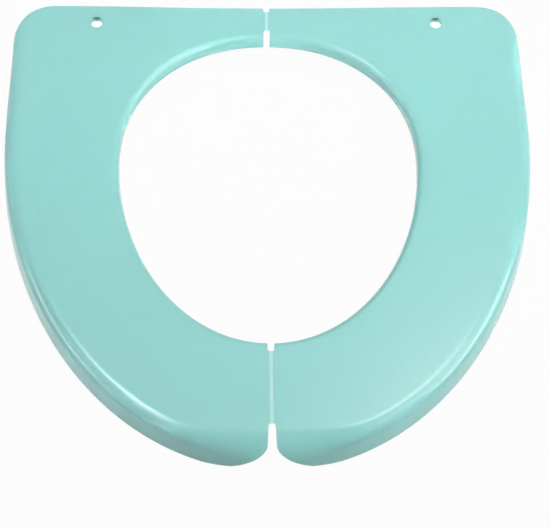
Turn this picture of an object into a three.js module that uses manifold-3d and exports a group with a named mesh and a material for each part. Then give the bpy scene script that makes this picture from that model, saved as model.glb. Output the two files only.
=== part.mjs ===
// A folding toilet training seat: two mirror-image shell halves joined by two living hinges.
// Millimetres. X points right, Y to the back edge, Z up. The foot of the skirt lies on Z = 0,
// and the origin is under the middle of the seat.
// The outline is drawn from the line of greatest width, and the finished halves are then centred.

import * as THREE from 'three';
import Module from 'manifold-3d';

const wasm = await Module();
wasm.setup();

// Plan outline at the foot of the skirt, measured from the line of greatest width.
// A fullness share says how far a curve reaches along the diagonal of its quadrant: 0.7071 is an ellipse.
const halfWidth = 157;
const backReach = 94.3;
const frontReach = 216;
const frontFullnessShare = 0.7083;
const sideRadius = 1075;
const backCornerRadius = 25.5;
const backBow = 1.6;

// The gap between the halves in front of the front hinge, drawn as seen along a line that slants up.
// It widens a little, and its mouth then rounds off both ends of the skirt with a quarter of an ellipse.
const gapHalf = 1.9;
const gapLength = 20.2;
const gapSlant = THREE.MathUtils.degToRad(63);
const gapFlare = 0.6;
const mouthHalf = 23.5;
const mouthReach = 11.9;
const mouthAboveFoot = 3.2;

// Seat opening, set by the lands of plate left round it.
const sideLand = 69.2;
const rearLand = 23.8;
const frontLand = 72.1;
const openingSetback = 19;
const openingRearFullnessShare = 0.7222;
const openingFrontFullnessShare = 0.7083;

// Moulded section: plate, skirt round the outside and lip round the opening.
const shellHeight = 19.5;
const wall = 2.2;
const skirtRadius = 7.5;
const skirtDraft = THREE.MathUtils.degToRad(4);
const lipDepth = 8.7;
const lipRadius = 3.6;
const lipDraft = THREE.MathUtils.degToRad(3);

// The skirt grows out of the back corners. Near the gap its foot rises and its shoulder spreads inwards.
const skirtStart = 14;
const skirtRunIn = 60;
const gapSkirtDepth = 15.5;
const gapSkirtLength = 9;
const gapSkirtRise = 32;
const gapRunShare = 1.9;
const gapRunStart = 5;
const gapRunLength = 60;

// Living hinges: a web bent to this radius about a fold line just above the plate.
const foldClearance = 0.15;
const bendRadius = 0.5;
const webThickness = 0.4;
const rearEdgeNotch = 2.9;
const rearOpeningNotch = 6.9;
const frontOpeningNotch = 6.6;
const grooveHalf = 2.5;
const reliefHalf = 3.6;

// A hang hole in each back corner.
const hangHoleDiameter = 6.8;
const hangHoleFromSide = 53;
const hangHoleFromBack = 13.3;

// How finely the shell and its holes are faceted, and how far a cut reaches past what it cuts.
const backEdgeSteps = 9;
const backCornerSteps = 9;
const sideSteps = 8;
const frontSteps = 36;
const mouthSteps = 10;
const notchCornerSteps = 3;
const skirtArcSteps = 7;
const skirtWallSteps = 2;
const lipArcSteps = 5;
const lipWallSteps = 1;
const holeSides = 28;
const cutOverrun = 1;
const triangleCorners = 3;

// Sizes that follow from the ones above.
const webHalf = Math.PI * bendRadius / 2;
const notchCorner = gapHalf - webHalf;
const foldHeight = shellHeight + foldClearance;
const webTop = foldHeight - bendRadius + webThickness / 2;
const openingHalfWidth = halfWidth - sideLand;
const openingRearY = backReach - backBow - rearLand;
const openingFrontY = frontLand - frontReach;
const openingMidY = -openingSetback;

const shellMaterial = new THREE.MeshStandardMaterial({ color: 0x9bd8d0, roughness: 0.32, metalness: 0 });
const webMaterial = new THREE.MeshStandardMaterial({ color: 0xc0efe9, roughness: 0.4, metalness: 0 });

// The exponent of the superellipse with a given fullness share.
function exponentOf(fullnessShare) {
  return -Math.LN2 / Math.log(fullnessShare);
}

// The point of a superellipse quadrant at an angle from +X, with its outward normal.
function superellipse(halfX, halfY, exponent, angle) {
  const shareX = Math.cos(angle) ** (2 / exponent);
  const shareY = Math.sin(angle) ** (2 / exponent);
  const normal = new THREE.Vector2(shareX ** (exponent - 1) / halfX, shareY ** (exponent - 1) / halfY);
  return { point: new THREE.Vector2(halfX * shareX, halfY * shareY), normal: normal.normalize() };
}

// Stations on an arc, from one angle to another; side -1 makes a hollow arc.
function arcStations(centre, radius, from, to, steps, side = 1) {
  const stations = [];
  for (let step = 0; step <= steps; step++) {
    const angle = from + (to - from) * step / steps;
    const direction = new THREE.Vector2(Math.cos(angle), Math.sin(angle));
    const point = centre.clone().addScaledVector(direction, radius);
    stations.push({ point, normal: direction.multiplyScalar(side) });
  }
  return stations;
}

// The back edge, gently hollow towards the hinge line.
function backEdgeStations(endX) {
  const stations = [];
  for (let step = 0; step < backEdgeSteps; step++) {
    const x = webHalf + (endX - webHalf) * step / backEdgeSteps;
    const y = backReach - backBow * (1 + Math.cos(Math.PI * x / endX)) / 2;
    stations.push({ point: new THREE.Vector2(x, y), normal: new THREE.Vector2(0, 1) });
  }
  return stations;
}

// One station of the front curve, angle 0 at the greatest width and a right angle at the hinge line.
function frontStation(angle) {
  const { point, normal } = superellipse(halfWidth, frontReach, exponentOf(frontFullnessShare), angle);
  return { point: new THREE.Vector2(point.x, -point.y), normal: new THREE.Vector2(normal.x, -normal.y) };
}

// All stations of one half's outline, from the rear hinge round the outside to the front hinge.
function outlineStations() {
  const cornerEnd = Math.asin((backReach - backCornerRadius) / (sideRadius - backCornerRadius));
  const sideCentre = new THREE.Vector2(halfWidth - sideRadius, 0);
  const inward = new THREE.Vector2(Math.cos(cornerEnd), Math.sin(cornerEnd));
  const cornerCentre = sideCentre.clone().addScaledVector(inward, sideRadius - backCornerRadius);
  const backEdge = backEdgeStations(cornerCentre.x);
  const backCorner = arcStations(cornerCentre, backCornerRadius, Math.PI / 2, cornerEnd, backCornerSteps);
  const side = arcStations(sideCentre, sideRadius, cornerEnd, 0, sideSteps).slice(1);

  const endShare = webHalf / halfWidth;
  const frontEnd = Math.acos(endShare ** (exponentOf(frontFullnessShare) / 2));
  const front = [];
  for (let step = 1; step <= frontSteps; step++) front.push(frontStation(frontEnd * step / frontSteps));
  front[frontSteps - 1].normal.set(0, -1);
  return { backStations: backEdge.length, stations: [...backEdge, ...backCorner, ...side, ...front] };
}

// How deep and how wide the skirt is at each station, as shares of its full depth and run.
function addSkirtShares({ backStations, stations }, fullRun) {
  let travelled = 0;
  stations.forEach((station, index) => {
    if (index > backStations) travelled += station.point.distanceTo(stations[index - 1].point);
    station.travelled = travelled;
  });
  const gapShare = gapSkirtDepth / shellHeight;
  for (const station of stations) {
    const grown = THREE.MathUtils.smoothstep(station.travelled, skirtStart, skirtStart + skirtRunIn);
    const left = travelled - station.travelled;
    const raised = THREE.MathUtils.smoothstep(left, gapSkirtLength, gapSkirtLength + gapSkirtRise);
    const narrowed = THREE.MathUtils.smoothstep(left, gapRunStart, gapRunStart + gapRunLength);
    station.depthShare = grown * THREE.MathUtils.lerp(gapShare, 1, raised);
    station.run = fullRun * THREE.MathUtils.lerp(gapRunShare, 1, narrowed);
  }
}

// Half of a moulded edge: a shoulder arc that turns down into a drafted wall.
// Each row holds how far out and down it lies from the flat plate, and its surface normal.
function edgeRows(radius, draft, depth, arcSteps, wallSteps) {
  const rows = [];
  const turn = Math.PI / 2 - draft;
  for (let step = 0; step <= arcSteps; step++) {
    const angle = turn * step / arcSteps;
    rows.push({ out: radius * Math.sin(angle), down: radius * (1 - Math.cos(angle)),
      normalOut: Math.sin(angle), normalUp: Math.cos(angle) });
  }
  const shoulder = rows[arcSteps];
  for (let step = 1; step <= wallSteps; step++) {
    const down = (depth - shoulder.down) * step / wallSteps;
    rows.push({ out: shoulder.out + down * Math.tan(draft), down: shoulder.down + down,
      normalOut: shoulder.normalOut, normalUp: shoulder.normalUp });
  }
  const foot = rows[rows.length - 1];
  foot.normalOut = 1;
  foot.normalUp = 0;
  return rows;
}

// Both faces of a moulded edge at one station; depthShare and runShare flatten and narrow it.
function edgeFaces(rows, point, normal, depthShare, runShare) {
  const run = rows[rows.length - 1].out;
  const depth = rows[rows.length - 1].down;
  const turned = Math.min(1, depthShare * depth / (2 * wall));
  const place = (inset, height) => {
    const spot = point.clone().addScaledVector(normal, -inset);
    return new THREE.Vector3(spot.x, spot.y, height);
  };
  const upper = [];
  const under = [];
  for (const row of rows) {
    const inset = (run - row.out) * runShare;
    const height = shellHeight - row.down * depthShare;
    upper.push(place(inset, height));
    const underInset = inset + wall * turned * row.normalOut;
    under.push(place(underInset, height - wall * (1 - turned * (1 - row.normalUp))));
  }
  return { upper, under };
}

// The station on the edge of the opening that lies towards a point of the plate.
function openingStation(target) {
  const rear = target.y > openingMidY;
  const reach = rear ? openingRearY - openingMidY : openingMidY - openingFrontY;
  const exponent = exponentOf(rear ? openingRearFullnessShare : openingFrontFullnessShare);
  const shareX = Math.abs(target.x) / openingHalfWidth;
  const shareY = Math.abs(target.y - openingMidY) / reach;
  const size = (shareX ** exponent + shareY ** exponent) ** (1 / exponent);
  const point = new THREE.Vector2(target.x / size, openingMidY + (target.y - openingMidY) / size);
  const facing = rear ? -1 : 1;
  const normal = new THREE.Vector2(-((shareX / size) ** (exponent - 1)) / openingHalfWidth,
    facing * (shareY / size) ** (exponent - 1) / reach);
  return { point, normal: normal.normalize() };
}

// The station of the opening on the hinge line, square to it.
function openingEndStation(rear) {
  const y = rear ? openingRearY : openingFrontY;
  return { point: new THREE.Vector2(webHalf, y), normal: new THREE.Vector2(0, rear ? -1 : 1) };
}

// One closed section of the shell, from the foot of the lip over the plate to the skirt and back.
function sectionLoop(lip, skirt) {
  return [...lip.upper.toReversed(), ...skirt.upper, ...skirt.under.toReversed(), ...lip.under];
}

// A flat end of the loft, facing the hinge line.
function capTriangles(loop, offset) {
  const flat = loop.map((vertex) => new THREE.Vector2(vertex.y, vertex.z));
  const triangles = THREE.ShapeUtils.triangulateShape(flat, []);
  return triangles.flatMap(([a, b, c]) => [offset + a, offset + c, offset + b]);
}

// A closed solid lofted clockwise round the seat, through sections with the same number of vertices.
function loft(sections) {
  const size = sections[0].length;
  const vertices = sections.flat();
  const triangles = [];
  for (let section = 0; section < sections.length - 1; section++) {
    for (let row = 0; row < size; row++) {
      const a = section * size + row;
      const b = section * size + (row + 1) % size;
      triangles.push(a, a + size, b, b, a + size, b + size);
    }
  }
  triangles.push(...capTriangles(sections[0], 0));
  triangles.push(...capTriangles(sections.at(-1), (sections.length - 1) * size));
  return solidFrom(vertices.flatMap((vertex) => vertex.toArray()), triangles);
}

function solidFrom(coordinates, triangles) {
  const mesh = new wasm.Mesh({
    numProp: 3, vertProperties: new Float32Array(coordinates), triVerts: new Uint32Array(triangles) });
  mesh.merge();
  return new wasm.Manifold(mesh);
}

function solidOf(geometry) {
  const flat = geometry.index ? geometry.toNonIndexed() : geometry;
  const coordinates = flat.attributes.position.array;
  return solidFrom(coordinates, Array.from({ length: coordinates.length / 3 }, (_, index) => index));
}

function geometryOf(solid) {
  const mesh = solid.getMesh();
  const geometry = new THREE.BufferGeometry();
  geometry.setAttribute('position', new THREE.BufferAttribute(new Float32Array(mesh.vertProperties), 3));
  geometry.setIndex(new THREE.BufferAttribute(new Uint32Array(mesh.triVerts), 1));
  return geometry;
}

// A cut along a web and past both its ends, from a shape drawn with X across the hinge line and Z up.
function cutAlongWeb(shape, { frontY, backY }) {
  const depth = backY - frontY + 2 * cutOverrun;
  const geometry = new THREE.ExtrudeGeometry(shape, { depth, bevelEnabled: false });
  return solidOf(geometry.rotateX(Math.PI / 2).translate(0, backY + cutOverrun, 0));
}

// A cut right through the shell beside a web, with a rounded corner at the end of the web.
function notchCut(webEndY, farY) {
  const away = Math.sign(farY - webEndY);
  const shape = new THREE.Shape();
  shape.moveTo(-cutOverrun, webEndY);
  shape.lineTo(webHalf, webEndY);
  shape.quadraticCurveTo(gapHalf, webEndY, gapHalf, webEndY + away * notchCorner);
  shape.lineTo(gapHalf, farY);
  shape.lineTo(-cutOverrun, farY);
  shape.closePath();
  const depth = shellHeight + 2 * cutOverrun;
  const curveSegments = notchCornerSteps;
  const geometry = new THREE.ExtrudeGeometry(shape, { depth, bevelEnabled: false, curveSegments });
  return solidOf(geometry.translate(0, 0, -cutOverrun));
}

// The gap, as one half of its shape swept along the slanted line; down runs along the shape from the web.
function gapCut(webEndY) {
  const foot = (webEndY + frontReach) * Math.sin(gapSlant) + shellHeight * Math.cos(gapSlant);
  const mouthEnd = foot - mouthAboveFoot;
  const shape = new THREE.Shape();
  shape.moveTo(-cutOverrun, 0);
  shape.lineTo(webHalf, 0);
  shape.quadraticCurveTo(gapHalf, 0, gapHalf, notchCorner);
  const mouthWidth = mouthHalf - gapHalf - gapFlare;
  for (let step = 0; step <= mouthSteps; step++) {
    const angle = Math.PI / 2 * step / mouthSteps;
    const down = mouthEnd - mouthReach * (1 - Math.sin(angle));
    shape.lineTo(mouthHalf - mouthWidth * Math.cos(angle), down);
  }
  shape.lineTo(mouthHalf, foot + cutOverrun);
  shape.lineTo(-cutOverrun, foot + cutOverrun);
  shape.closePath();
  const above = ((foot + cutOverrun) * Math.cos(gapSlant) + cutOverrun) / Math.sin(gapSlant);
  const depth = above + (shellHeight + cutOverrun) / Math.sin(gapSlant);
  const curveSegments = notchCornerSteps;
  const geometry = new THREE.ExtrudeGeometry(shape, { depth, bevelEnabled: false, curveSegments });
  geometry.translate(0, 0, -above).rotateX(-Math.PI / 2 - gapSlant);
  return solidOf(geometry.translate(0, webEndY, shellHeight));
}

// The shallow groove over a web, sloping from the plate down to the web's upper face.
function grooveShape() {
  const shape = new THREE.Shape();
  shape.moveTo(-cutOverrun, webTop);
  shape.lineTo(webHalf, webTop);
  shape.lineTo(grooveHalf, shellHeight);
  shape.lineTo(grooveHalf, shellHeight + cutOverrun);
  shape.lineTo(-cutOverrun, shellHeight + cutOverrun);
  shape.closePath();
  return shape;
}

// The hollow under a web, rising from the underside of the plate to the web's lower face.
function reliefShape() {
  const shape = new THREE.Shape();
  const plateUnder = shellHeight - wall;
  shape.moveTo(-cutOverrun, webTop - webThickness);
  shape.lineTo(webHalf, webTop - webThickness);
  shape.quadraticCurveTo(grooveHalf, webTop - webThickness, reliefHalf, plateUnder);
  shape.lineTo(reliefHalf, plateUnder - cutOverrun);
  shape.lineTo(-cutOverrun, plateUnder - cutOverrun);
  shape.closePath();
  return shape;
}

function hangHoleCut() {
  const radius = hangHoleDiameter / 2;
  const geometry = new THREE.CylinderGeometry(radius, radius, wall + 2 * cutOverrun, holeSides);
  geometry.rotateX(Math.PI / 2);
  geometry.translate(halfWidth - hangHoleFromSide, backReach - hangHoleFromBack, shellHeight - wall / 2);
  return solidOf(geometry);
}

// The right half of the moulding, drawn from the line of greatest width.
function seatHalf(stations, skirtRows, webs) {
  const lipRows = edgeRows(lipRadius, lipDraft, lipDepth, lipArcSteps, lipWallSteps);
  const fullRun = skirtRows[skirtRows.length - 1].out;
  const sections = stations.map((station, index) => {
    const first = index === 0;
    const last = index === stations.length - 1;
    const shoulder = station.point.clone().addScaledVector(station.normal, -station.run);
    const opening = first || last ? openingEndStation(first) : openingStation(shoulder);
    const runShare = station.run / fullRun;
    return sectionLoop(edgeFaces(lipRows, opening.point, opening.normal, 1, 1),
      edgeFaces(skirtRows, station.point, station.normal, station.depthShare, runShare));
  });
  let half = loft(sections);
  const cuts = [hangHoleCut()];
  cuts.push(notchCut(webs.rear.backY, backReach + cutOverrun));
  cuts.push(notchCut(webs.rear.frontY, openingMidY));
  cuts.push(notchCut(webs.front.backY, openingMidY));
  cuts.push(gapCut(webs.front.frontY));
  for (const web of [webs.rear, webs.front]) {
    cuts.push(cutAlongWeb(grooveShape(), web));
    cuts.push(cutAlongWeb(reliefShape(), web));
  }
  for (const cut of cuts) half = half.subtract(cut);
  return geometryOf(half);
}

// A copy mirrored in the hinge line, with its faces turned the right way out again.
function mirrored(geometry) {
  const copy = geometry.clone().scale(-1, 1, 1);
  const index = copy.index.array;
  for (let corner = 0; corner < index.length; corner += triangleCorners) {
    [index[corner], index[corner + 1]] = [index[corner + 1], index[corner]];
  }
  return copy;
}

// The thin strip that bends, drawn in the flat, open position.
function webGeometry({ frontY, backY }) {
  const geometry = new THREE.BoxGeometry(2 * webHalf, backY - frontY, webThickness);
  return geometry.translate(0, (frontY + backY) / 2, webTop - webThickness / 2);
}

function namedMesh(name, geometry, material) {
  geometry.computeVertexNormals();
  const mesh = new THREE.Mesh(geometry, material);
  mesh.name = name;
  return mesh;
}

const skirtRows = edgeRows(skirtRadius, skirtDraft, shellHeight, skirtArcSteps, skirtWallSteps);
const outline = outlineStations();
addSkirtShares(outline, skirtRows[skirtRows.length - 1].out);

const webs = {
  rear: { backY: backReach - backBow - rearEdgeNotch, frontY: openingRearY + rearOpeningNotch },
  front: { backY: openingFrontY - frontOpeningNotch, frontY: gapLength - frontReach },
};

const rightHalf = seatHalf(outline.stations, skirtRows, webs);

const seat = new THREE.Group();
seat.add(namedMesh('left_seat_half', mirrored(rightHalf), shellMaterial));
seat.add(namedMesh('right_seat_half', rightHalf, shellMaterial.clone()));
seat.add(namedMesh('front_living_hinge', webGeometry(webs.front), webMaterial));
seat.add(namedMesh('rear_living_hinge', webGeometry(webs.rear), webMaterial.clone()));

rightHalf.computeBoundingBox();
seat.position.y = -(rightHalf.boundingBox.max.y + rightHalf.boundingBox.min.y) / 2;

export default seat;
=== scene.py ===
"""A folding toilet training seat, dressed and lit for a studio picture.

The seat is one thin moulding of polypropylene: two mirror-image halves, joined by two living hinges on
the line between them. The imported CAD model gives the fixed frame. Each half is drawn again here as a
finer shell with rounded rims, each hinge as a thin strip that bends when the seat folds.

Sizes are in millimetres unless a name says otherwise. X points right, Y to the straight back edge, Z up.
"""

from __future__ import annotations

import logging
import math
from collections.abc import Callable
from dataclasses import dataclass
from enum import Enum
from itertools import accumulate

import bmesh
import bpy
from mathutils import Matrix, Vector

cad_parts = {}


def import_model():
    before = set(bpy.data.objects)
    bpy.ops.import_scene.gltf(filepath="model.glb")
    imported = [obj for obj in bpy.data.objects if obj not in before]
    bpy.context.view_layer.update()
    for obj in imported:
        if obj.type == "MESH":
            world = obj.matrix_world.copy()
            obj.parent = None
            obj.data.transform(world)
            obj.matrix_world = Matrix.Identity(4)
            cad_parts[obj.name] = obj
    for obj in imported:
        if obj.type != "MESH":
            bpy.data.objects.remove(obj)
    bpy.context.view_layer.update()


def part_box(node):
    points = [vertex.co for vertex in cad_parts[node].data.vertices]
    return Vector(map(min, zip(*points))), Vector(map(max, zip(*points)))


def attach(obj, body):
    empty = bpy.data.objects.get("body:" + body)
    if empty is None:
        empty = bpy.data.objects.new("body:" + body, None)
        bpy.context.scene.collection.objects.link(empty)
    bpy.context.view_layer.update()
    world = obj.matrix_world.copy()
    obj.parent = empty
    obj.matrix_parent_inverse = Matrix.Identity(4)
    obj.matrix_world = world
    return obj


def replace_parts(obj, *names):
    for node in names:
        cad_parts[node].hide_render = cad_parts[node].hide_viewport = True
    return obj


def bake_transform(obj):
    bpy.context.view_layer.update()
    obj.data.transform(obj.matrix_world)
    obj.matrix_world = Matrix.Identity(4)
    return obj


LOG = logging.getLogger("training_seat")
METRES = 0.001
# Where this mask is set, the colour is painted paler: a painted glow standing in for light that shines
# through the thin web.
THIN_GLOW = "thinness"  # the attribute that says where a wall is thin enough to let light through
BISECTION_PASSES = 40
HOLLOW_POWER = 1.5  # how full the hollow beside a web is: 1 is a straight slope


class Side(Enum):
    """The two halves of the seat, as seen by the child that sits on it."""

    LEFT = "left"
    RIGHT = "right"

    @property
    def body(self) -> str:
        """The CAD body that this half belongs to."""
        return f"{self.value}_half"

    @property
    def node(self) -> str:
        """The CAD node of this half."""
        return f"{self.value}_seat_half"


def smoothstep(value: float, start: float, end: float) -> float:
    """Rises from 0 at start to 1 at end, level at both."""
    share = min(1.0, max(0.0, (value - start) / (end - start)))
    return share * share * (3 - 2 * share)


def lerp(start: float, end: float, share: float) -> float:
    """The value that lies a share of the way from start to end."""
    return start + (end - start) * share


def linear_colour(code: str) -> tuple[float, float, float, float]:
    """Turns an sRGB hex colour into a linear one.

    Args:
        code: six hex digits, with or without a leading hash.

    Returns:
        Red, green, blue and alpha, linear.
    """
    digits = code.lstrip("#")
    channels = [int(digits[start:start + 2], 16) / 255 for start in (0, 2, 4)]
    linear = [c / 12.92 if c <= 0.04045 else ((c + 0.055) / 1.055) ** 2.4 for c in channels]
    return (*linear, 1.0)


def add_node(tree: bpy.types.NodeTree, kind: str, inputs: dict | None = None, **settings) -> bpy.types.Node:
    """Adds a node to a tree, with its settings and its inputs.

    Args:
        tree: the tree that gets the node.
        kind: Blender's name for the node's type.
        inputs: a value, a socket or a node for each input, by its name or number. Of a node, the first
            output is linked.
        settings: the node's own properties.

    Returns:
        The new node.
    """
    node = tree.nodes.new(kind)
    for name, value in settings.items():
        setattr(node, name, value)
    for key, value in (inputs or {}).items():
        source = value.outputs[0] if isinstance(value, bpy.types.Node) else value
        if isinstance(source, bpy.types.NodeSocket):
            tree.links.new(source, node.inputs[key])
        else:
            node.inputs[key].default_value = source
    return node


def link_object(name: str, data: bpy.types.ID) -> bpy.types.Object:
    """Makes an object of a mesh, a lamp or a camera and puts it in the scene."""
    made = bpy.data.objects.new(name, data)
    bpy.context.scene.collection.objects.link(made)
    return made


def reshape(mesh: bpy.types.Mesh, change: Callable[[bmesh.types.BMesh], None]) -> int:
    """Changes a mesh and shades all its faces smooth.

    Args:
        mesh: the mesh, changed in place.
        change: what is done to its vertices, edges and faces.

    Returns:
        How many edges don't join exactly two faces.
    """
    work = bmesh.new()
    work.from_mesh(mesh)
    change(work)
    for face in work.faces:
        face.smooth = True
    open_edges = sum(1 for edge in work.edges if not edge.is_manifold)
    work.to_mesh(mesh)
    work.free()
    return open_edges


def face_outwards(work: bmesh.types.BMesh) -> None:
    """Turns all faces of a closed mesh outwards."""
    bmesh.ops.recalc_face_normals(work, faces=work.faces)


# ---------------------------------------------------------------------------------------------
# Plan: the lines that the edges of one half follow
# ---------------------------------------------------------------------------------------------


@dataclass
class Station:
    """One place on an edge of the right half, seen from above.

    Attributes:
        point: the place at the foot of the edge.
        outward: the direction away from the plate, of length 1.
        depth: how far the edge turns down.
        run: how far in from the edge the turned part starts.
        end_inset: how far the whole section draws in, to round off its end.
        relief: how far the underside is hollowed at the edge.
        roundness: 0 for a shoulder with a straight wall below it, 1 for one round roll down to the foot.
    """

    point: Vector
    outward: Vector
    depth: float = 0.0
    run: float = 0.0
    end_inset: float = 0.0
    relief: float = 0.0
    roundness: float = 0.0

    def turned(self, wall: float) -> float:
        """How far the rim has turned from a plain edge, 0, to the foot of a skirt, 1."""
        return min(1.0, self.depth / (2 * wall))


def arc(centre: Vector, radius: float, start: float, end: float, steps: int) -> list[Station]:
    """Stations on an arc from one angle to another, both ends included."""
    stations = []
    for step in range(steps + 1):
        angle = lerp(start, end, step / steps)
        outward = Vector((math.cos(angle), math.sin(angle)))
        stations.append(Station(centre + outward * radius, outward))
    return stations


def line(start: Vector, end: Vector, outward: Vector, steps: int) -> list[Station]:
    """Stations on a straight edge, both ends included."""
    return [Station(start.lerp(end, step / steps), outward.copy()) for step in range(steps + 1)]


@dataclass(frozen=True)
class Superellipse:
    """One quadrant of a superellipse about a centre on the hinge line.

    Attributes:
        half_x: half width.
        half_y: reach along Y.
        fullness_share: how far it reaches along the quadrant's diagonal, 0.7071 for an ellipse.
    """

    half_x: float
    half_y: float
    fullness_share: float

    @property
    def exponent(self) -> float:
        """The exponent that gives the fullness."""
        return -math.log(2) / math.log(self.fullness_share)

    def station(self, angle: float) -> Station:
        """The place at an angle from +X, with X and Y both positive."""
        share_x = max(0.0, math.cos(angle)) ** (2 / self.exponent)
        share_y = max(0.0, math.sin(angle)) ** (2 / self.exponent)
        normal = Vector((share_x ** (self.exponent - 1) / self.half_x,
                         share_y ** (self.exponent - 1) / self.half_y))
        return Station(Vector((self.half_x * share_x, self.half_y * share_y)), normal.normalized())

    def height_at(self, x: float) -> float:
        """Y on the curve at a given X."""
        return self.half_y * (1 - (x / self.half_x) ** self.exponent) ** (1 / self.exponent)


@dataclass
class ShellSection:
    """The moulded section: plate, skirt round the outside, lip round the opening.

    Attributes:
        height: from the foot of the skirt to the sitting face.
        rim_radius: the round on both corners of each rim.
        flat_share: the strip in which the plate eases into a shoulder, as a share of the edge's run.
        roll_power: the fullness of the round roll beside the front gap, 2 for a quarter ellipse.
    """

    height: float = 19.5
    wall: float = 2.2
    skirt_radius: float = 7.5
    skirt_draft: float = math.radians(4)
    lip_depth: float = 8.7
    lip_radius: float = 3.6
    lip_draft: float = math.radians(3)
    rim_radius: float = 0.45
    flat_share: float = 0.16
    roll_power: float = 2.2

    def run_of(self, radius: float, draft: float, depth: float) -> float:
        """How far out an edge reaches from the flat plate: its shoulder and its drafted wall."""
        shoulder = radius * math.cos(draft)
        wall_height = depth - radius * (1 - math.sin(draft))
        return shoulder + wall_height * math.tan(draft)

    @property
    def skirt_run(self) -> float:
        """Run of the full skirt, with the strip that eases into its shoulder."""
        return self.run_of(self.skirt_radius, self.skirt_draft, self.height) / (1 - self.flat_share)

    @property
    def lip_run(self) -> float:
        """Run of the lip, with the strip that eases into its shoulder."""
        return self.run_of(self.lip_radius, self.lip_draft, self.lip_depth) / (1 - self.flat_share)


@dataclass
class HingeLine:
    """The line between the halves: webs, notches, and the hollow under the plate beside a web.

    Attributes:
        gap_half: half the distance between the halves.
        fold_clearance: how far the fold's axis lies above the sitting face.
        bend_radius: the radius that a web bends to when the seat is folded.
        relief_half: how far from the hinge line the hollow reaches.
        relief_control: the middle control point of the hollow's curve.
        relief_fade: how far past a web's end the hollow dies away.
    """

    gap_half: float = 1.9
    fold_clearance: float = 0.15
    bend_radius: float = 0.5
    web_thickness: float = 0.4
    rear_edge_notch: float = 2.9
    rear_opening_notch: float = 6.9
    front_opening_notch: float = 6.6
    relief_half: float = 3.6
    relief_control: float = 2.5
    relief_fade: float = 1.2

    @property
    def web_half(self) -> float:
        """Half the width of the strip that bends: a quarter turn of the bend radius."""
        return math.pi * self.bend_radius / 2

    @property
    def notch_corner(self) -> float:
        """Radius of the corner between a web's end and the side of its notch."""
        return self.gap_half - self.web_half

    def web_top(self, shell_height: float) -> float:
        """Height of a web's upper face."""
        return shell_height + self.fold_clearance - self.bend_radius + self.web_thickness / 2

    def underside_at(self, x: float, section: ShellSection) -> float:
        """Height of the underside beside a web: a curve from the web's lower face to the plate's."""
        top = self.web_top(section.height) - self.web_thickness
        foot = section.height - section.wall
        low, high = 0.0, 1.0
        for _ in range(BISECTION_PASSES):
            share = (low + high) / 2
            reach = (self.web_half * (1 - share) ** 2 + 2 * self.relief_control * share * (1 - share)
                     + self.relief_half * share ** 2)
            low, high = (share, high) if reach < abs(x) else (low, share)
        return top if abs(x) <= self.web_half else lerp(top, foot, low * low)


@dataclass(frozen=True)
class Fineness:
    """How many steps each stretch of an edge is drawn in."""

    hinge_side: int = 44
    hinge_corner: int = 6
    back_edge: int = 60
    back_corner: int = 34
    side: int = 36
    front: int = 200
    end_face: int = 3
    front_hinge_side: int = 84
    opening_quadrant: int = 110
    hang_hole: int = 48
    mouth: int = 32


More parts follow.
